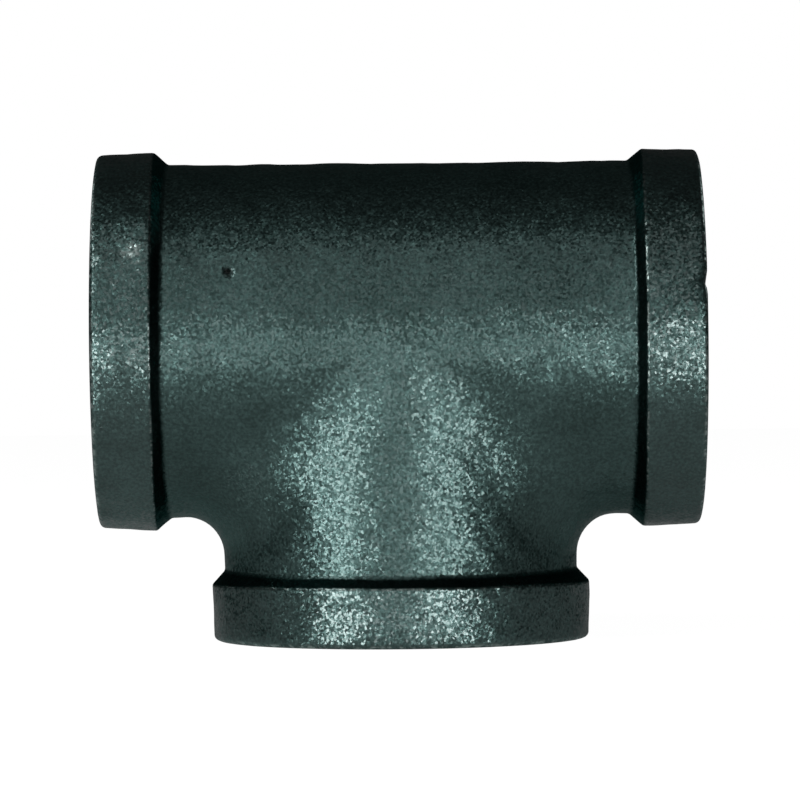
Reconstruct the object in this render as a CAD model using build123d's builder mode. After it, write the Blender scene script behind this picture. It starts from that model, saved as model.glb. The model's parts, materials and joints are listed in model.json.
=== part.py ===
from build123d import *
import os
from math import acos, cos, radians, sin

# Equal pipe tee in black malleable iron, nominal size 32 mm (1 1/4 inch), with three threaded ends.
# It is one sand casting: three like arms about one crossing, a rolled blend in each crotch, and a
# cored passage whose mouths are bored to the crests of the thread.
# Millimetres, +Z up. The run lies along X and the branch points down. The origin is the centre of
# the branch's end face, on which the tee stands.

# Thread, a parallel pipe thread of size 1 1/4
thread_diameter = 41.91     # over the roots cut in the fitting
thread_height = 1.479       # from root to crest, measured on the radius
thread_length = 17.0        # from the end face to the last crest
mouth_clearance = 0.55      # countersink beyond the roots, on the radius

# Casting
core_clearance = 0.995      # the cored chamber beyond the roots, on the radius
wall = 4.25                 # metal between the chamber and the body's skin
band_height = 1.85          # the end band above the body
band_width = 8.7            # from the end face to the band's crest
band_taper = 0.33           # the band's radius lost from its crest to its outer edge
band_slope = 1.45           # length along the arm of the slope behind the crest
neck_length = 2.45          # plain body between the blend and the band's slope

# Blends and edges
blend_radius = 5.65         # ball that rolls in the crotch between run and branch, at the sides
front_blend_radius = 24.0   # what the ball grows to where the crotch fades out, front and back
core_blend_radius = 2.0     # the same inside, where the core's passages cross
slope_radius = 1.0          # hollow at the foot of the band's slope
face_chamfer = 0.7          # outer edge of the end face
blend_bite = 0.02           # the blend starts this far under the skin, so its border is a clean edge
blend_end = 88              # degrees round the pipes at which the blend has sunk under the skin
steps_round = 24            # arcs that its face is laid through, from the middle to either end
steps_across = 6            # steps along each arc
face_tolerance = 0.0005     # how closely the face follows them

# Radii and lengths that follow
thread_radius = thread_diameter / 2
bore_radius = thread_radius - thread_height
mouth_radius = thread_radius + mouth_clearance
mouth_depth = mouth_radius - bore_radius
chamber_radius = thread_radius + core_clearance
body_radius = chamber_radius + wall
band_radius = body_radius + band_height
edge_radius = band_radius - band_taper

# Heights along an arm, from the crossing of the axes. The end face comes to 44.45 mm, as standard
slope_start = body_radius + blend_radius + neck_length
crest_start = slope_start + band_slope
centre_to_end = crest_start + band_width
bore_end = centre_to_end - thread_length
chamber_end = bore_end - (chamber_radius - bore_radius)

run_axis_height = centre_to_end
crossing = (0, 0, run_axis_height)


def crotch_web(pipe_radius, side_ball, front_ball):
    """Filling between two equal pipes that cross at right angles, as a ball leaves it in the crotch.

    The ball touches both pipes. At the angle t round them its centre is pipe_radius plus its own
    radius from both axes, and that radius grows from side_ball to front_ball with the square of
    sin t. The filling's face is laid through the short arcs from contact to contact, and it is made
    as thick as the wall, so that it reaches past the corner where the pipes meet.
    """
    rows = []
    for i in range(-steps_round, steps_round + 1):
        t = radians(blend_end) * i / steps_round
        ball = side_ball + (front_ball - side_ball) * sin(t) ** 2
        centre = Vector(cos(t), sin(t), -cos(t)) * (pipe_radius + ball)
        to_run = Vector(0, -sin(t), cos(t))
        to_branch = Vector(-cos(t), -sin(t), 0)
        turn = acos(sin(t) ** 2)
        row = []
        for j in range(steps_across + 1):
            swing = turn * j / steps_across
            toward = (to_run * sin(turn - swing) + to_branch * sin(swing)) / sin(turn)
            row.append(centre + toward * ball)
        rows.append(row)
    with BuildPart() as web:
        thicken(Face.make_surface_from_array_of_points(rows, tol=face_tolerance), amount=wall)
    return web.part


def tee_of(arm, web):
    """Three copies of an arm about the crossing, with the web in both crotches."""
    with BuildPart() as tee:
        for turn in ((0, 90, 0), (0, -90, 0), (180, 0, 0)):
            add(arm, rotation=turn)
        add(web)
        add(mirror(web, about=Plane.YZ, mode=Mode.PRIVATE))
    return tee.part


# One arm of the casting, standing along +Z from the crossing
with BuildPart() as arm:
    with BuildSketch(Plane.XZ):
        with BuildLine():
            Line((0, 0), (body_radius, 0))
            FilletPolyline(
                (body_radius, 0),
                (body_radius, slope_start),
                (band_radius, crest_start),
                radius=slope_radius,
            )
            Polyline(
                (band_radius, crest_start),
                (edge_radius, centre_to_end - face_chamfer),
                (edge_radius - face_chamfer, centre_to_end),
                (0, centre_to_end),
                (0, 0),
            )
        make_face()
    revolve(axis=Axis.Z)

# The space inside one arm: cored chamber, shoulder, bored wall and countersunk mouth
with BuildPart() as hollow:
    with BuildSketch(Plane.XZ):
        with BuildLine():
            Polyline(
                (0, 0),
                (chamber_radius, 0),
                (chamber_radius, chamber_end),
                (bore_radius, bore_end),
                (bore_radius, centre_to_end - mouth_depth),
                (mouth_radius, centre_to_end),
                (0, centre_to_end),
                close=True,
            )
        make_face()
    revolve(axis=Axis.Z)

outer_web = crotch_web(body_radius - blend_bite, blend_radius, front_blend_radius)
core_web = crotch_web(chamber_radius - blend_bite, core_blend_radius, core_blend_radius)
casting = tee_of(arm.part, outer_web)
passage = tee_of(hollow.part, core_web)

with BuildPart() as tee_body:
    with Locations(crossing):
        add(casting)
        add(passage, mode=Mode.SUBTRACT)

os.makedirs("parts", exist_ok=True)
tee_body.part.label = "tee_body"
export_step(tee_body.part, "parts/tee_body.step")
print(f"band over all {2 * band_radius:.2f}, body {2 * body_radius:.2f}, centre to end {centre_to_end:.2f}")
print(f"bored wall radius {bore_radius:.3f}, from {mouth_depth:.3f} to {thread_length:.3f} under each end face")
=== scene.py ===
# %% [markdown]
# # A pipe tee in black cast iron
#
# A pipe tee joins three pipes: two in line, which are the run, and one square to them, the branch.
# This one is a single sand casting in malleable iron, with a thick band round each end and a thread
# tapped into each mouth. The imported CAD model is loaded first. It is the fixed frame: every size and
# place below is measured from it.

# %% Load the frame
import json

import bmesh
import bpy
import numpy as np
from mathutils import Matrix, Vector


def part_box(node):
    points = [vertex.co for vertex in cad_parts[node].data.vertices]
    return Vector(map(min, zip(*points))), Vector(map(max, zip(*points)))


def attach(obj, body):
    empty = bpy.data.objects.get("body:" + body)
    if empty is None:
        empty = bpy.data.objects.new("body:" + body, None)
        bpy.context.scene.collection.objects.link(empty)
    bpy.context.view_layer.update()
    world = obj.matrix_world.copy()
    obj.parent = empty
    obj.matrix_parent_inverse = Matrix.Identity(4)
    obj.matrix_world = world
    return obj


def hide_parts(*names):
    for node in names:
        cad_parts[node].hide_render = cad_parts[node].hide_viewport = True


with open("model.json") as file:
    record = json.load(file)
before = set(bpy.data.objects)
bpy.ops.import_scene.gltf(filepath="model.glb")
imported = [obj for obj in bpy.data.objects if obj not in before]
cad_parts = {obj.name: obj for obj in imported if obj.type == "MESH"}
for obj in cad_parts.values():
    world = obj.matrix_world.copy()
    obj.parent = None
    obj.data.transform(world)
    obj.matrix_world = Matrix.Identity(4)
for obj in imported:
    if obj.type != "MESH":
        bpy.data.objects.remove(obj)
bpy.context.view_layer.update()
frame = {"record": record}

# %% [markdown]
# ## Sizes
#
# The casting is worked out in millimetres from the point where the two axes cross, and it becomes
# metres once, when its mesh is made. The length of an arm and the radius of the band are read from
# the CAD node's box, and the thread's size and length from the record's mount. What these can't
# tell, such as the blend and the slope behind the band, is named here as it was drawn.

# %% Read and name the sizes
MM = 0.001
low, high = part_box("tee_body")
centre_to_end = high[0] / MM
band_radius = high[1] / MM
crossing = np.array([0.0, 0.0, centre_to_end])

mount = next(m for m in frame["record"]["mounts"] if m["name"] == "branch")
bore_radius = mount["dims"]["r_mm"]
mouth_depth = mount["pos_m"][2] / MM
mouth_radius = bore_radius + mouth_depth
bore_end = centre_to_end - mouth_depth - mount["dims"]["length_mm"]

band_height = 1.85      # the band above the body
band_width = 8.7        # from the end face to the band's crest
band_taper = 0.33       # the band's radius lost from its crest to the face
neck_room = 3.0         # from the crest back to where the plain body starts
blend_radius = 5.65     # ball that rolls in the crotch, at the sides
front_blend = 24.0      # what the ball grows to at the front and the back
core_blend = 2.0        # the same ball where the core's passages cross
core_clearance = 0.995  # the cored chamber beyond the thread's roots
thread_pitch = 2.309
thread_depth = 1.479

body_radius = band_radius - band_height
neck_end = centre_to_end - band_width - neck_room
chamber_radius = bore_radius + thread_depth + core_clearance
chamber_end = bore_end - (chamber_radius - bore_radius)
print(f"arm {centre_to_end:.2f} mm, band radius {band_radius:.2f} mm, bore radius {bore_radius:.3f} mm")

# %% [markdown]
# ## The outline of an arm's end
#
# Behind each band the plain body rises in a short slope. Its foot is a hollow, its crest is rounded
# and so is the outer edge of the end face, because a sand mould can't hold a sharp corner. The
# outline runs through five points, and its three corners between the ends are rounded by an arc. An
# arc of a given radius touches both lines of its corner at radius times tan(turn / 2) from it.
#
# The mould was split along a plane through all three axes, and the seam it leaves is ground off.
# So the slope is longer and its crest lies a little further out where that plane cuts the bands.

# %% Round the corners of an outline
ARC_STEPS = 5
SPAN = 0.95             # longest stretch between two rows, in millimetres
BAND_WEAR = 0.5         # wear all over the bands, beside 1 on their edges
front_slope = 1.45      # length of the slope at the front
ground_slope = 2.1      # and at the parting plane
ground_off = 0.4        # how far out the crest lies there
slope_hollow = 1.0
crest_round = 0.7
edge_round = 0.8


def corner_arc(before, corner, after, radius):
    """Points of the arc that rounds a corner: its start, plus radius times the way that it turned.

    At an angle a into the turn that way is sin a along the first line and 1 - cos a to its side.
    """
    into = (corner - before) / np.linalg.norm(corner - before)
    out = (after - corner) / np.linalg.norm(after - corner)
    turn = np.arctan2(into[0] * out[1] - into[1] * out[0], into @ out)
    start = corner - into * radius * np.tan(abs(turn) / 2)
    left = np.array([-into[1], into[0]]) * np.sign(turn)
    angle = np.linspace(0, abs(turn), ARC_STEPS + 1)[:, None]
    return start + radius * (np.sin(angle) * into + (1 - np.cos(angle)) * left)


def divided(rows, span):
    """More rows: each long stretch between two rows is divided evenly, alike in all columns."""
    stretch = np.linalg.norm(np.diff(rows[:, 0, :2], axis=0), axis=1)
    parts = np.maximum(1, np.ceil(stretch / span)).astype(int)
    place = np.concatenate([i + np.arange(n) / n for i, n in enumerate(parts)] + [[len(parts)]])
    before = np.minimum(place.astype(int), len(parts) - 1)
    rest = (place - before)[:, None, None]
    return (1 - rest) * rows[before] + rest * rows[before + 1]


def arm_outline(crest, foot):
    """Skin of an arm's end from the neck to the face, with crest and foot at a given u.

    Each point is u along the arm, r from its axis, and how rough, how worn and how much painted shade it
    takes in the groove behind the band.
    """
    corners = np.array([
        (neck_end, body_radius),
        (foot, body_radius),
        (crest, band_radius),
        (centre_to_end, band_radius - band_taper),
        (centre_to_end, mouth_radius),
    ])
    hollow = corner_arc(*corners[0:3], slope_hollow)
    ridge = corner_arc(*corners[1:4], crest_round)
    rim = corner_arc(*corners[2:5], edge_round)
    line = np.vstack([corners[:1], hollow, ridge, rim])
    along_arc = np.linspace(0, 1, ARC_STEPS + 1)
    rough = np.concatenate([np.ones(len(line) - len(rim)), 1 - along_arc])
    rubbed = np.sin(np.pi * along_arc)
    worn_ridge = np.maximum(rubbed, BAND_WEAR * (along_arc > 0.5))
    worn_rim = np.maximum(rubbed, BAND_WEAR * (along_arc < 0.5))
    worn = np.concatenate([np.zeros(1 + len(hollow)), worn_ridge, worn_rim])
    # painted shade: none on the neck, rising through the hollow to full on the slope, fading over the crest,
    # none on the rim
    grime = np.concatenate([[0], along_arc, 1 - along_arc, np.zeros(len(rim))])
    return np.column_stack([line, rough, worn, grime])


crest_end = centre_to_end - band_width
front_outline = arm_outline(crest_end, crest_end - front_slope)
ground_outline = arm_outline(crest_end + ground_off, crest_end + ground_off - ground_slope)
print(f"slope behind the band: {front_slope} mm at the front, {ground_slope} mm at the parting plane")

# %% [markdown]
# ## Sheets
#
# The whole skin is made from sheets. A sheet is a grid of points, a function of two parameters, and
# each cell of the grid is a face with four corners. Every sheet that meets another uses the same
# angles, so their edges share the same points, and merging those closes the seams. A sheet also has
# a finish, cast or cut, and three traits at each point: how rough the mould left it, how worn it is
# and how much painted shade it takes, which darkens the grooves behind the bands.

# %% Collect sheets
COLUMNS = 192
CAST, CUT = 0, 1
TRAITS = ("rough", "worn", "grime")
AS_CAST, SMOOTH = (1.0, 0.0, 0.0), (0.0, 0.0, 0.0)
sheets = []
half_turn = np.linspace(-np.pi / 2, np.pi / 2, COLUMNS // 2 + 1)
full_turn = np.linspace(0, 2 * np.pi, COLUMNS + 1)


def add_sheet(points, finish=CAST, traits=SMOOTH, flip=False):
    """Keeps a grid of points, shaped rows by columns by 3, with its finish and its three traits."""
    spread = np.stack([np.broadcast_to(trait, points.shape[:2]) for trait in traits], axis=-1)
    sheets.append((points, finish, spread, flip))


def placed(u, across, up, arm):
    """Turns an arm's own axes into x, y, z: u runs out along the arm, and two more lie across it."""
    across, up = np.broadcast_to(across, u.shape), np.broadcast_to(up, u.shape)
    if arm == "branch":
        return np.stack([across, up, -u], axis=-1)
    return np.stack([u if arm == "right" else -u, up, -across], axis=-1)


print(f"{COLUMNS} columns round each arm, {2 * np.pi * body_radius / COLUMNS:.2f} mm apart")

# %% [markdown]
# ## The blend between run and branch
#
# Run and branch have the same radius, so they meet in two ellipses that cross at the front and the
# back. The pattern maker filled that inner corner with a fillet: tight in the two crotches at the
# sides, and ever wider towards the front, where it spreads into the broad soft saddle that catches
# the light. A loft or a boolean with a bevel would wrinkle where the corner fades out, so the
# fillet is worked out. A ball touches both pipes. At the angle t round them its radius grows from
# 5.65 mm to 24 mm with the square of sin t, and its centre lies the body's radius plus its own from
# both axes. It touches the run straight above its centre and the branch straight beside it, and the
# fillet is the arc between those two points. At the front and the back they come together, so the
# fillet fades to nothing.

# %% Lay the middle of the casting
ROWS_ALONG, ROWS_ACROSS = 26, 12
CORE_ROWS_ALONG, CORE_ROWS_ACROSS = 8, 6
NO_TURN = 1e-6          # an arc that turns less than this is a single point


def crotch(radius, ball, front_ball, reach, along, across):
    """Right half of the lower middle: a line on the run, the ball's arc, and a line down the branch.

    Row by row it goes from the run's end to the branch's end, and each column is one angle t. The arc
    is the ball's centre plus its radius times the direction between the two contacts, turned evenly.
    """
    cos, sin = np.cos(half_turn), np.sin(half_turn)
    ball = ball + (front_ball - ball) * sin ** 2
    centre = (radius + ball) * cos
    step = np.linspace(0, 1, along + 1)[:, None]
    run_x = reach + step * (centre - reach)
    run = np.stack(np.broadcast_arrays(run_x, radius * sin, -radius * cos), axis=-1)
    to_run = np.stack([np.zeros_like(cos), -sin, cos], axis=-1)
    to_branch = np.stack([-cos, -sin, np.zeros_like(cos)], axis=-1)
    turn = np.arccos(np.clip(sin ** 2, 0, 1))
    part = np.linspace(0, 1, across + 1)[1:-1, None]
    whole = np.maximum(np.sin(turn), NO_TURN)
    near = (np.sin((1 - part) * turn) / whole)[..., None]
    far = (np.sin(part * turn) / whole)[..., None]
    ball_place = np.stack([centre, (radius + ball) * sin, -centre], axis=-1)
    arc = ball_place + ball[:, None] * (near * to_run + far * to_branch)
    flat = turn < NO_TURN
    arc[:, flat] = ball_place[flat] + ball[flat, None] * to_run[flat]
    branch_z = -centre + step * (centre - reach)
    branch = np.stack(np.broadcast_arrays(radius * cos, radius * sin, branch_z), axis=-1)
    return np.vstack([run, arc, branch])


def middle(lower, radius, reach, along, traits, inside):
    """Both lower halves and the plain upper half of a crossing, facing out or, inside, facing in.

    The upper half is x along the run, and radius times the sine and the cosine of the angle.
    """
    add_sheet(lower, traits=traits, flip=inside)
    add_sheet(lower * (-1, 1, 1), traits=traits, flip=not inside)
    angle = half_turn + np.pi
    x = np.linspace(reach, -reach, 2 * along + 1)[:, None]
    upper = np.stack(np.broadcast_arrays(x, radius * np.sin(angle), -radius * np.cos(angle)), axis=-1)
    add_sheet(upper, traits=traits, flip=inside)


outside = crotch(body_radius, blend_radius, front_blend, neck_end, ROWS_ALONG, ROWS_ACROSS)
core = crotch(chamber_radius, core_blend, core_blend, chamber_end, CORE_ROWS_ALONG, CORE_ROWS_ACROSS)
middle(outside, body_radius, neck_end, ROWS_ALONG, AS_CAST, inside=False)
middle(core, chamber_radius, chamber_end, CORE_ROWS_ALONG, SMOOTH, inside=True)
print(f"{len(sheets)} sheets in the middle")

# %% [markdown]
# ## The bands and the end faces
#
# Each end is the outline turned round its arm. The two outlines are mixed by the angle: the ground
# one holds only close to the parting plane, so its share is a high power of the cosine. The skin
# takes the mould's roughness, which fades out over the rounded edge, because the end face was cut
# flat when the thread was tapped.

# %% Turn the outline round each arm
PARTING_POWER = 6


def turned(u, r, arm):
    """A point at u along the arm, turned a full circle round its axis: r cos t across, r sin t up."""
    return placed(u, r * np.cos(full_turn), r * np.sin(full_turn), arm)


near_parting = np.abs(np.cos(full_turn))[:, None] ** PARTING_POWER
rows = divided(front_outline[:, None] + near_parting * (ground_outline - front_outline)[:, None], SPAN)
u, r, *traits = np.moveaxis(rows, -1, 0)
face = np.stack([np.full(len(full_turn), centre_to_end)] * 2)
face_radius = np.stack([r[-1], np.full(len(full_turn), mouth_radius)])
for arm in ("right", "left", "branch"):
    add_sheet(turned(u, r, arm), traits=traits, flip=arm == "right")
    add_sheet(turned(face, face_radius, arm), finish=CUT, flip=arm == "right")
print(f"{len(sheets)} sheets with the bands and end faces")

# %% [markdown]
# ## The thread
#
# The mouths are tapped with a right-handed pipe thread. The photo doesn't show them, so its kind is a
# guess: parallel, 11 turns to the inch, with rounded crests and roots. The wall is the largest of
# three radii: the thread's ridge, the countersink at the mouth and the cone at the end of the core,
# so the ridges run out into both cones as they do behind a real tap. The grid's rows follow the
# helix, so ten rows a turn are enough to keep the ridges smooth. Rows that would pass either end stop
# there, and merging removes the faces without an area.

# %% Cut the thread
# places along one turn, and the ridge's height there from 0 at its root to 1 at its crest
ridge_phase = np.array([0.0, 0.07, 0.13, 0.37, 0.43, 0.5, 0.57, 0.63, 0.87, 0.93])
ridge_height = np.array([0.0, 0.04, 0.13, 0.87, 0.96, 1.0, 0.96, 0.87, 0.13, 0.04])


def thread(arm):
    """Rows along the helix: u is the row's place plus a pitch for each full turn, r the largest radius.

    An arm's own axes are a mirror image on the left and on the branch, so there the helix turns back.
    """
    hand = 1 if arm == "right" else -1
    first = int(np.floor(chamber_end / thread_pitch)) - 1
    last = int(np.ceil(centre_to_end / thread_pitch)) + 1
    turns = np.arange(last, first - 1, -1)
    phase = (turns[:, None] + ridge_phase[::-1]).ravel()[:, None]
    ridge = np.tile(ridge_height[::-1], len(turns))[:, None]
    helix = (phase + hand * full_turn / (2 * np.pi)) * thread_pitch
    u = np.clip(helix, chamber_end, centre_to_end)
    wall = bore_radius + thread_depth * (1 - ridge)
    countersink = mouth_radius - (centre_to_end - u)
    core_cone = chamber_radius - (u - chamber_end)
    r = np.maximum(np.maximum(wall, countersink), core_cone)
    r = np.where(u >= centre_to_end, mouth_radius, r)
    r = np.where(u <= chamber_end, chamber_radius, r)
    return turned(u, r, arm)


for arm in ("right", "left", "branch"):
    add_sheet(thread(arm), finish=CUT, flip=arm == "right")
print(f"{len(sheets)} sheets in all, {(centre_to_end - bore_end) / thread_pitch:.1f} turns of thread")

# %% [markdown]
# ## One closed mesh
#
# The sheets become one mesh. Points that coincide are merged, which closes every seam and removes
# the faces that had shrunk to a line.

# %% Join the sheets
MERGE = 0.002           # millimetres


def cells(grid_shape, start, flip):
    """Four corner numbers for each cell of a grid whose points are numbered row by row from start."""
    index = start + np.arange(grid_shape[0] * grid_shape[1]).reshape(grid_shape)
    corner = [index[:-1, :-1], index[1:, :-1], index[1:, 1:], index[:-1, 1:]]
    corner = np.stack(corner, axis=-1).reshape(-1, 4)
    return corner[:, ::-1] if flip else corner


def joined(name, parts):
    """One mesh from sheets, with the finish on its faces and the traits as point attributes."""
    sizes = [len(grid) * len(grid[0]) for grid, *rest in parts]
    starts = np.cumsum([0] + sizes[:-1])
    points = np.vstack([grid.reshape(-1, 3) for grid, *rest in parts])
    grids = [cells(grid.shape[:2], start, flip) for (grid, *rest, flip), start in zip(parts, starts)]
    finish = np.concatenate([np.full(len(grid), part[1]) for grid, part in zip(grids, parts)])
    mesh = bpy.data.meshes.new(name)
    mesh.from_pydata((points + crossing) * MM, [], np.vstack(grids))
    mesh.polygons.foreach_set("material_index", finish.astype(np.int32))
    values = np.vstack([traits.reshape(-1, len(TRAITS)) for grid, finish, traits, flip in parts])
    for i, trait in enumerate(TRAITS):
        attribute = mesh.attributes.new(trait, "FLOAT", "POINT")
        attribute.data.foreach_set("value", np.ascontiguousarray(values[:, i]))
    return mesh


def merged(mesh):
    """Merges the points that coincide and says what is left open and how much it holds."""
    work = bmesh.new()
    work.from_mesh(mesh)
    bmesh.ops.remove_doubles(work, verts=work.verts, dist=MERGE * MM)
    open_edges = sum(not edge.is_manifold for edge in work.edges)
    volume = work.calc_volume(signed=True) / MM ** 3
    work.to_mesh(mesh)
    work.free()
    triangles = sum(len(p.vertices) - 2 for p in mesh.polygons)
    print(f"{mesh.name}: {triangles} triangles, {open_edges} open edges, {volume:.0f} cubic mm")


skin = joined("tee_skin", sheets)
merged(skin)

# %% [markdown]
# ## An uneven casting
#
# Sand moves a little when iron is poured against it, so no face of a casting is true. The skin is
# moved along its normal by a sum of waves with random directions, of a length near a given size.
# A texture's bump would leave the outline straight, so the points themselves are moved. What would
# pass the CAD box stops at it. A nick in the rim of the right band is pressed in too.

# %% Press the unevenness into the skin
WAVES = 28
WAVE_SPREAD = (0.7, 1.4)                # shortest and longest wave, beside the given length
swell_depth, swell_length, swell_seed = 0.16, 11.0, 11
dent_depth, dent_length, dent_seed = 0.07, 4.2, 12
nick_place, nick_size, nick_depth = np.array([44.4, -26.0, 8.1]), 0.9, 0.55


def waves(points, length, seed):
    """Sum of sines along random directions, times the root of 2 / WAVES: it strays about 1 from zero."""
    random = np.random.default_rng(seed)
    direction = random.normal(size=(WAVES, 3))
    direction /= np.linalg.norm(direction, axis=1)[:, None]
    number = 2 * np.pi / (length * random.uniform(*WAVE_SPREAD, WAVES))
    phase = random.uniform(0, 2 * np.pi, WAVES)
    return np.sin(points @ (direction * number[:, None]).T + phase).sum(axis=1) * np.sqrt(2 / WAVES)


def inward(height):
    """Squeezes waves to a depth from 0 to 1: half of one minus the hyperbolic tangent."""
    return 0.5 - 0.5 * np.tanh(height)


def closeness(points, place, size):
    """One at a place, fading out round it: e to the power of minus (distance / size) squared."""
    return np.exp(-((points - place) ** 2).sum(axis=1) / size ** 2)


def read_all(data, name, width=1):
    """One property of all points of a mesh as an array, with a row for each point if it is wide."""
    values = np.empty(len(data) * width)
    data.foreach_get(name, values)
    return values.reshape(-1, width) if width > 1 else values


points = read_all(skin.vertices, "co", 3) / MM - crossing
normals = read_all(skin.vertex_normals, "vector", 3)
rough = read_all(skin.attributes["rough"].data, "value")
depth = swell_depth * inward(waves(points, swell_length, swell_seed))
depth += dent_depth * inward(waves(points, dent_length, dent_seed))
depth -= (swell_depth + dent_depth) / 2
points -= normals * (rough * depth + nick_depth * closeness(points, nick_place, nick_size))[:, None]
points = np.clip(points, np.array(low) / MM - crossing, np.array(high) / MM - crossing)
skin.vertices.foreach_set("co", ((points + crossing) * MM).ravel())
skin.update()
print(f"skin moved by {(rough * depth).min():.2f} to {(rough * depth).max():.2f} mm, inwards counted up")

# %% [markdown]
# ## Wear
#
# The bands are what other fittings knock against, so their crests and rims are rubbed, and one spot
# on the left band is scuffed down to the metal. The finish reads this wear from the mesh, so it
# stays on the edges whatever their shape. Edges that turn by more than the given angle stay sharp.

# %% Mark the scuffed spot
rub_place, rub_size = np.array([-38.2, -24.6, 12.6]), 2.6
SHARP = 40              # degrees

worn = read_all(skin.attributes["worn"].data, "value")
worn = np.maximum(worn, closeness(points, rub_place, rub_size))
skin.attributes["worn"].data.foreach_set("value", worn)
skin.polygons.foreach_set("use_smooth", np.ones(len(skin.polygons), dtype=bool))
skin.set_sharp_from_angle(angle=np.radians(SHARP))
print(f"{(worn > BAND_WEAR).mean():.0%} of the skin's points are worn down to an edge or a scuff")

# %% [markdown]
# ## Colours and nodes
#
# A hex colour is written for the eye and a shader counts in light, so one function turns the first
# into the second. One more function adds any node: its inputs are either values or the outputs of
# other nodes, and its settings are named. A Mix node has sockets of the same name for each kind of
# data, so its sockets are taken by number.

# %% Helpers for materials
SHARE = 0
COLOUR_A, COLOUR_B, COLOUR_OUT = 6, 7, 2
NUMBER_A, NUMBER_B, NUMBER_OUT = 2, 3, 0


def linear(hex_colour):
    """Turns a hex sRGB colour into the linear values that a shader works with."""
    value = np.array([int(hex_colour[i:i + 2], 16) for i in (1, 3, 5)]) / 255
    light = np.where(value <= 0.04045, value / 12.92, ((value + 0.055) / 1.055) ** 2.4)
    return (*light.tolist(), 1.0)


def add_node(tree, kind, inputs=None, **settings):
    """Adds a node, sets its settings, then fills each input with a value or links a socket to it."""
    new = tree.nodes.new("ShaderNode" + kind)
    for name, value in settings.items():
        setattr(new, name, value)
    for name, value in (inputs or {}).items():
        if isinstance(value, bpy.types.NodeSocket):
            tree.links.new(value, new.inputs[name])
        else:
            new.inputs[name].default_value = value
    return new


def set_ramp(ramp, *stops):
    """Gives a colour ramp its stops, each a position and a hex colour."""
    for element, (position, hex_colour) in zip(ramp.color_ramp.elements, stops):
        element.position = position
        element.color = linear(hex_colour)


def per_size(size):
    """Scale of a texture in metres whose features are about size millimetres across."""
    return 1 / (size * MM)


def new_material(name):
    """A material with its tree and its shader."""
    material = bpy.data.materials.new(name)
    material.use_nodes = True
    return material, material.node_tree, material.node_tree.nodes["Principled BSDF"]


print("mid grey as linear light:", [round(v, 3) for v in linear("#808080")[:3]])

# %% [markdown]
# ## The print of the sand
#
# Iron that was poured into sand keeps its print. Three reliefs lie on each other: lumps of a few
# millimetres, the sand's grain, and fine grit. Bumps of noise alone would look like worms where the
# light is sharp, because their bright spots run along contours. Real grains leave small facets that
# each face their own way, so every cell of a Voronoi pattern leans the normal by its own random
# amount. Foundry sand is about 0.2 to 0.3 mm, which is under 2 pixels here, so the cells are drawn
# a little coarser than that.

# %% Make the relief of the cast skin
LUMP, GRAIN, GRIT, SAND = 2.4, 0.9, 0.45, 0.32
LUMP_DEPTH, GRAIN_DEPTH, GRIT_DEPTH = 0.08, 0.022, 0.010
FACET = 0.28            # how far a grain's facet leans, beside a normal of length 1


def sand_print(tree, place, normal, heights):
    """The normal after a bump for each height and its depth, plus FACET times each grain's lean."""
    for height, depth in heights:
        bump = add_node(tree, "Bump", {
            "Height": height, "Distance": depth * MM, "Strength": 1.0, "Normal": normal,
        })
        normal = bump.outputs["Normal"]
    sand = add_node(tree, "TexVoronoi", {"Vector": place, "Scale": per_size(SAND)}, feature="F1")
    lean = add_node(tree, "VectorMath", {0: sand.outputs["Color"], 1: (0.5, 0.5, 0.5)}, operation="SUBTRACT")
    tilt = add_node(tree, "VectorMath", {0: lean.outputs["Vector"], "Scale": FACET}, operation="SCALE")
    facets = add_node(tree, "VectorMath", {0: normal, 1: tilt.outputs["Vector"]}, operation="ADD")
    unit = add_node(tree, "VectorMath", {0: facets.outputs["Vector"]}, operation="NORMALIZE")
    return unit.outputs["Vector"]


print(f"a sand grain is {SAND} mm across, {2 * np.pi * body_radius / SAND:.0f} to a turn round the body")

# %% [markdown]
# ## Tone, bare metal and a pit
#
# The varnish varies slowly in tone and is dusted with grit. Where the skin is worn, the bare iron
# shows through in small ragged patches, brighter and smoother than the rest. There is a pit on the
# run, as a gas bubble leaves one: a shallow bump in relief, with its shade painted near black into
# the colour. Its edge is ragged, because the distance to its middle is stirred by the grain.

# %% Colour the skin and its blemishes
TONE, WORN_PATCH = 9, 1.0
DARK_VARNISH, PALE_VARNISH, BARE_METAL = "#4b6461", "#597572", "#c4d6d2"
# both colours are painted shade: the groove behind each band and the pit are darkened to stand in for their
# shade
PAINTED_GROOVE_SHADE, PAINTED_PIT_SHADE = "#22302f", "#121a19"
DUST_LOW, DUST_HIGH = 0.8, 1.2
PATCH_FROM, PATCH_TO, BAREST = 0.46, 0.6, 0.9   # noise where a patch starts and is full, and its share
MIDDLE_OF_NOISE = {"From Min": 0.35, "From Max": 0.65}
PIT_PLACE, PIT_SIZE, PIT_DEPTH = (-24.5, -24.2, 54.5), 1.5, 0.16


def varnish_colour(tree, place, grit):
    """Dark base with slow changes of tone, times a factor between two levels of dust by the grit."""
    tone = add_node(tree, "TexNoise", {"Vector": place, "Scale": per_size(TONE), "Detail": 3.0})
    colour = add_node(tree, "ValToRGB", {"Fac": tone.outputs["Fac"]})
    set_ramp(colour, (0.3, DARK_VARNISH), (0.7, PALE_VARNISH))
    dust = add_node(tree, "MapRange", {
        "Value": grit, **MIDDLE_OF_NOISE, "To Min": DUST_LOW, "To Max": DUST_HIGH,
    })
    return add_node(tree, "VectorMath", {
        0: colour.outputs["Color"], "Scale": dust.outputs["Result"],
    }, operation="SCALE").outputs["Vector"]


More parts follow.
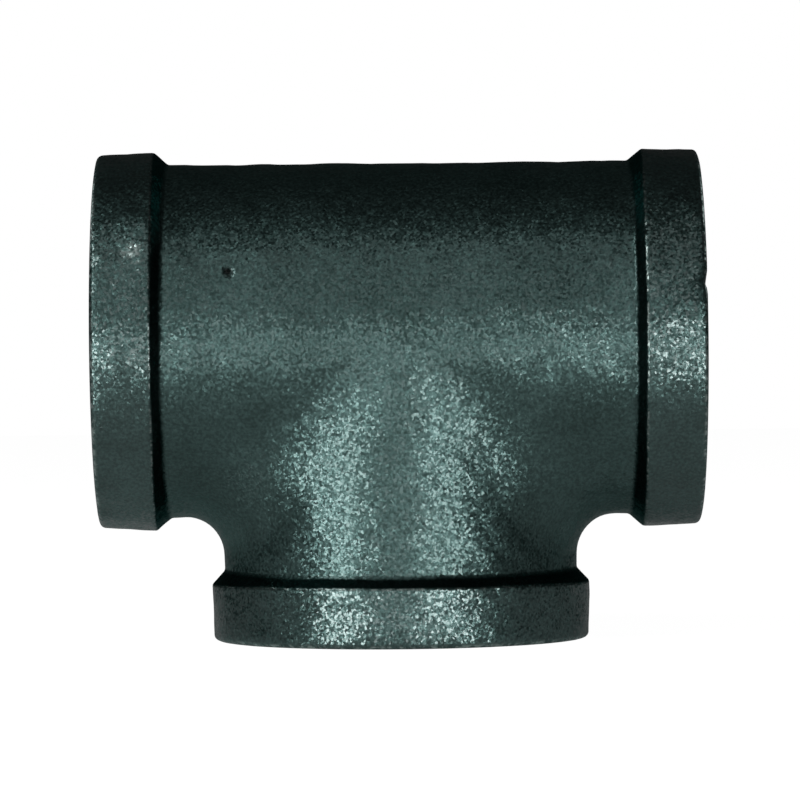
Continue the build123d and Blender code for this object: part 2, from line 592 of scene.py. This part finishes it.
def bare_share(tree, place, worn):
    """How much bare metal shows: ragged patches, only where the wear is above that of the bands."""
    patch = add_node(tree, "TexNoise", {"Vector": place, "Scale": per_size(WORN_PATCH), "Detail": 3.0})
    bare = add_node(tree, "MapRange", {
        "Value": patch.outputs["Fac"], "From Min": PATCH_FROM, "From Max": PATCH_TO, "To Max": BAREST,
    })
    edge = add_node(tree, "MapRange", {"Value": worn, "From Min": BAND_WEAR, "From Max": 1.0})
    return add_node(tree, "Math", {
        0: edge.outputs["Result"], 1: bare.outputs["Result"],
    }, operation="MULTIPLY").outputs["Value"]


# the pit's share darkens the colour there as painted shade, and drives the bump of its shallow hollow
def pit_level(tree, place, grain):
    """Zero in the pit and one outside it, by the distance to its middle plus a share of the grain."""
    centre = tuple(v * MM for v in PIT_PLACE)
    away = add_node(tree, "VectorMath", {0: place, 1: centre}, operation="DISTANCE")
    ragged = add_node(tree, "Math", {
        0: grain, 1: PIT_SIZE / 2 * MM, 2: away.outputs["Value"],
    }, operation="MULTIPLY_ADD")
    return add_node(tree, "MapRange", {
        "Value": ragged.outputs["Value"], "From Min": PIT_SIZE / 2 * MM, "From Max": PIT_SIZE * MM,
    }).outputs["Result"]


print(f"pit of {PIT_SIZE} mm at {PIT_PLACE}")

# %% [markdown]
# ## Gloss and varnish
#
# Two layers shine here. The scale under the varnish is rough and changes a little from grain to
# grain, and bare metal is smoother. The varnish over it is a sharper coat: full on the bands, thin
# on the body, and missing in the grooves behind the bands, where the same mask paints their shade
# into the colour.

# %% Set the gloss of both layers
BODY_COAT, BAND_COAT, COAT_ROUGHNESS = 0.38, 0.9, 0.13
GRAIN_GLOSS, GRAIN_DULL, BARE_ROUGHNESS = 0.34, 0.42, 0.28


def base_roughness(tree, grit, bare):
    """Glossy to dull by the grit, mixed with the bare metal's roughness by its share."""
    gloss = add_node(tree, "MapRange", {
        "Value": grit, **MIDDLE_OF_NOISE, "To Min": GRAIN_GLOSS, "To Max": GRAIN_DULL,
    })
    return add_node(tree, "Mix", {
        SHARE: bare, NUMBER_A: gloss.outputs["Result"], NUMBER_B: BARE_ROUGHNESS,
    }, data_type="FLOAT").outputs[NUMBER_OUT]


def coat_share(tree, worn, grime):
    """Coat from the body's to the bands' by the wear, times one minus the painted groove shade."""
    varnish = add_node(tree, "MapRange", {
        "Value": worn, "From Max": BAND_WEAR, "To Min": BODY_COAT, "To Max": BAND_COAT,
    })
    clean = add_node(tree, "MapRange", {"Value": grime, "To Min": 1.0, "To Max": 0.0})
    return add_node(tree, "Math", {
        0: varnish.outputs["Result"], 1: clean.outputs["Result"],
    }, operation="MULTIPLY").outputs["Value"]


print(f"varnish {BODY_COAT} on the body, {BAND_COAT} on the bands")

# %% [markdown]
# ## Black malleable iron
#
# Such a fitting is annealed, tumbled and dipped in a thin black varnish over its scale. That gives a
# dark, cold, slightly green metal, rough as a whole and glossy on each grain, so that a highlight
# breaks up into bright specks. It is a metal all over, and its tint at grazing angles is a pale
# green, so that the rims don't shine white. Scuffs, then painted shade in the grooves behind the
# bands, then painted shade in the pit are mixed over the varnish's colour, each by its own share.

# %% Put the cast finish together
GRAZING_TINT = "#9dc4c0"


def black_iron():
    """Dark varnish on cast iron: tone and bare metal as colour, painted shade in the grooves and the pit,
    sand as relief.
    """
    material, tree, shader = new_material("black_malleable_iron")
    place = add_node(tree, "TexCoord").outputs["Object"]
    noise = {
        size: add_node(tree, "TexNoise", {
            "Vector": place, "Scale": per_size(size), "Detail": detail,
        }).outputs["Fac"]
        for size, detail in ((LUMP, 2.0), (GRAIN, 2.0), (GRIT, 1.0))
    }
    worn = add_node(tree, "Attribute", attribute_name="worn").outputs["Fac"]
    grime = add_node(tree, "Attribute", attribute_name="grime").outputs["Fac"]
    bare = bare_share(tree, place, worn)
    pit = pit_level(tree, place, noise[GRAIN])

    colour = varnish_colour(tree, place, noise[GRIT])
    # mixed over the varnish's colour: bare metal where worn, then painted shade in the grooves, then painted
    # shade in the pit
    for share, first, second in (
        (bare, None, linear(BARE_METAL)),
        (grime, None, linear(PAINTED_GROOVE_SHADE)),
        (pit, linear(PAINTED_PIT_SHADE), None),
    ):
        colour = add_node(tree, "Mix", {
            SHARE: share, COLOUR_A: first or colour, COLOUR_B: second or colour,
        }, data_type="RGBA").outputs[COLOUR_OUT]

    hollow = add_node(tree, "Bump", {"Height": pit, "Distance": PIT_DEPTH * MM, "Strength": 1.0})
    normal = sand_print(tree, place, hollow.outputs["Normal"], (
        (noise[LUMP], LUMP_DEPTH), (noise[GRAIN], GRAIN_DEPTH), (noise[GRIT], GRIT_DEPTH),
    ))
    shader.inputs["Metallic"].default_value = 1.0
    shader.inputs["Coat Roughness"].default_value = COAT_ROUGHNESS
    shader.inputs["Specular Tint"].default_value = linear(GRAZING_TINT)
    tree.links.new(colour, shader.inputs["Base Color"])
    tree.links.new(base_roughness(tree, noise[GRIT], bare), shader.inputs["Roughness"])
    tree.links.new(normal, shader.inputs["Normal"])
    tree.links.new(normal, shader.inputs["Coat Normal"])
    tree.links.new(coat_share(tree, worn, grime), shader.inputs["Coat Weight"])
    return material


skin.materials.append(black_iron())
print("finish:", skin.materials[CAST].name)

# %% [markdown]
# ## Cut iron
#
# The end faces, countersinks and threads were cut after casting. Bare malleable iron is a dull grey
# metal, darkened here by the oil that the fitting was dipped in, which dried in smears.

# %% Make the cut finish
SMEAR = 3
DARK_OIL, THIN_OIL = "#3b4141", "#6a6f6e"
OIL_GLOSS, OIL_DULL = 0.30, 0.50


def cut_iron():
    """Oiled bare iron: smears of a few millimetres set both the grey and the gloss."""
    material, tree, shader = new_material("oiled_cut_iron")
    place = add_node(tree, "TexCoord").outputs["Object"]
    smear = add_node(tree, "TexNoise", {"Vector": place, "Scale": per_size(SMEAR), "Detail": 4.0})
    colour = add_node(tree, "ValToRGB", {"Fac": smear.outputs["Fac"]})
    set_ramp(colour, (0.35, DARK_OIL), (0.7, THIN_OIL))
    gloss = add_node(tree, "MapRange", {
        "Value": smear.outputs["Fac"], "To Min": OIL_GLOSS, "To Max": OIL_DULL,
    })
    shader.inputs["Metallic"].default_value = 1.0
    tree.links.new(colour.outputs["Color"], shader.inputs["Base Color"])
    tree.links.new(gloss.outputs["Result"], shader.inputs["Roughness"])
    return material


skin.materials.append(cut_iron())
print("finish:", skin.materials[CUT].name)

# %% [markdown]
# ## The casting in the frame
#
# The mesh becomes one object at the origin, which rides on the only body and stands in for the CAD
# node. The CAD node itself is no longer shown.

# %% Place the casting
casting = bpy.data.objects.new("tee_casting", skin)
bpy.context.scene.collection.objects.link(casting)
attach(casting, "root")
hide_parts("tee_body")
print(f"{casting.name} stands in for tee_body")

# %% [markdown]
# ## The table
#
# The tee stands on a white table with a glossy top, whose mirror image of the low lamps lights the
# tee's underside as well. Seen by the camera it also glows, so that it comes out nearly as white as
# the ground of a product picture. For all other rays the glow is weak, because it would light the
# object.

# %% Lay the table
FLOOR = 3.0             # metres
FLOOR_GAP = 0.02        # millimetres under the branch's face
GLOW, GLOW_SEEN = 0.09, 0.97
TABLE_COLOUR, TABLE_ROUGHNESS = "#c8c8c8", 0.12


def white_table():
    """Glossy white top that shows the tee's shadow and glows for the camera."""
    material, tree, shader = new_material("white_table")
    path = add_node(tree, "LightPath")
    glow = add_node(tree, "MapRange", {
        "Value": path.outputs["Is Camera Ray"], "To Min": GLOW, "To Max": GLOW_SEEN,
    })
    shader.inputs["Base Color"].default_value = linear(TABLE_COLOUR)
    shader.inputs["Roughness"].default_value = TABLE_ROUGHNESS
    shader.inputs["Emission Color"].default_value = linear("#ffffff")
    tree.links.new(glow.outputs["Result"], shader.inputs["Emission Strength"])
    return material


floor_mesh = bpy.data.meshes.new("floor")
square = np.array([(-1, -1), (1, -1), (1, 1), (-1, 1)]) * FLOOR / 2
floor_mesh.from_pydata(np.column_stack([square, np.full(4, -FLOOR_GAP * MM)]), [], [(0, 1, 2, 3)])
floor_mesh.materials.append(white_table())
floor = bpy.data.objects.new("floor", floor_mesh)
bpy.context.scene.collection.objects.link(floor)
print(f"floor {FLOOR} m square")

# %% [markdown]
# ## The room
#
# The camera sees a white room, at a strength of 1. Metal and glass are shown the same white, but
# much weaker: black iron in a white room looks grey, and this tee is nearly black where no lamp is
# mirrored in it. The room's light on everything else is as weak.

# %% Build the room
ROOM = 0.02

scene = bpy.context.scene
world = bpy.data.worlds.new("studio")
world.use_nodes = True
scene.world = world
tree = world.node_tree
path = add_node(tree, "LightPath")
mirrored = add_node(tree, "Math", {
    0: path.outputs["Is Glossy Ray"], 1: path.outputs["Is Transmission Ray"],
}, operation="ADD")
shown = add_node(tree, "Math", {
    0: mirrored.outputs["Value"], 1: ROOM, 2: path.outputs["Is Camera Ray"],
}, operation="MULTIPLY_ADD")
level = add_node(tree, "Math", {0: shown.outputs["Value"], 1: ROOM}, operation="MAXIMUM")
tree.links.new(level.outputs["Value"], tree.nodes["Background"].inputs["Strength"])
tree.nodes["Background"].inputs["Color"].default_value = linear("#ffffff")
print(f"room white to the camera, {ROOM} to the object")

# %% [markdown]
# ## Lamps
#
# Two small low softboxes, left and right of the camera and close to the tee, are mirrored as the two
# bright lobes on the branch and its band. Broad weak ones in front and above give the run its soft
# sheen, one high on the left lights the top edge of the sheen, and two behind keep the back from
# going black. All look at the crossing of the axes, and the camera doesn't see them.

# %% Hang the lamps
LAMPS = {
    # azimuth and elevation in degrees, width and height in metres, watts, distance in metres
    "left_softbox": (-35.5, -5, 0.114, 0.035, 0.164, 0.3),
    "right_softbox": (28.0, -5, 0.090, 0.035, 0.122, 0.3),
    "front_low": (0, 0, 0.30, 0.09, 0.34, 0.95),
    "front_high": (0, 28, 0.30, 0.20, 0.27, 0.95),
    "top_softbox": (0, 56, 0.5, 0.3, 0.28, 0.95),
    "high_left": (-50, 40, 0.3, 0.3, 1.95, 0.95),
    "back_left": (-125, 25, 0.3, 0.3, 0.3, 0.95),
    "back_right": (125, 25, 0.3, 0.3, 0.3, 0.95),
}


def softbox(name, azimuth, elevation, width, height, power, distance):
    """A rectangular lamp at a distance from the crossing, in the direction of the two angles.

    From the front, azimuth turns to the right and elevation up: (sin a cos e, -cos a cos e, sin e).
    """
    lamp = bpy.data.lights.new(name, "AREA")
    lamp.shape = "RECTANGLE"
    lamp.size, lamp.size_y, lamp.energy = width, height, power
    holder = bpy.data.objects.new(name, lamp)
    a, e = np.radians([azimuth, elevation])
    back = Vector((np.sin(a) * np.cos(e), -np.cos(a) * np.cos(e), np.sin(e)))
    holder.location = Vector(crossing * MM) + back * distance
    holder.rotation_mode = "QUATERNION"
    holder.rotation_quaternion = back.to_track_quat("Z", "Y")
    holder.visible_camera = False
    scene.collection.objects.link(holder)


for name, settings in LAMPS.items():
    softbox(name, *settings)

# %% [markdown]
# ## Camera
#
# A long lens, about three quarters of a metre away and just above the run's axis, looks almost
# level at the front. Its place comes from fitting the outline of the tee: it looks down by a small
# tilt, is turned a little about its own axis, and is shifted aside and down from the crossing.

# %% Place the camera
tilt, roll = 0.0141, 0.0098             # radians
distance, half_width = 751.8, 59.5      # millimetres to the crossing, and seen to each side of it
aside, above = 0.183, -9.02             # millimetres
SENSOR = 36                             # millimetres

ahead = np.array([0, np.cos(tilt), -np.sin(tilt)])
level_up = np.array([0, np.sin(tilt), np.cos(tilt)])
level_right = np.array([1.0, 0, 0])
right = np.cos(roll) * level_right - np.sin(roll) * level_up
up = np.sin(roll) * level_right + np.cos(roll) * level_up
spot = (crossing + aside * right + above * up - distance * ahead) * MM
lens = bpy.data.cameras.new("camera")
lens.sensor_width = SENSOR
lens.lens = SENSOR / 2 * distance / half_width
camera = bpy.data.objects.new("camera", lens)
turned_rows = [(*row, offset) for row, offset in zip(np.column_stack([right, up, -ahead]), spot)]
camera.matrix_world = Matrix(turned_rows + [(0, 0, 0, 1)])
scene.collection.objects.link(camera)
scene.camera = camera
scene.view_settings.view_transform = "Standard"
print(f"camera {spot}, lens {lens.lens:.1f} mm")
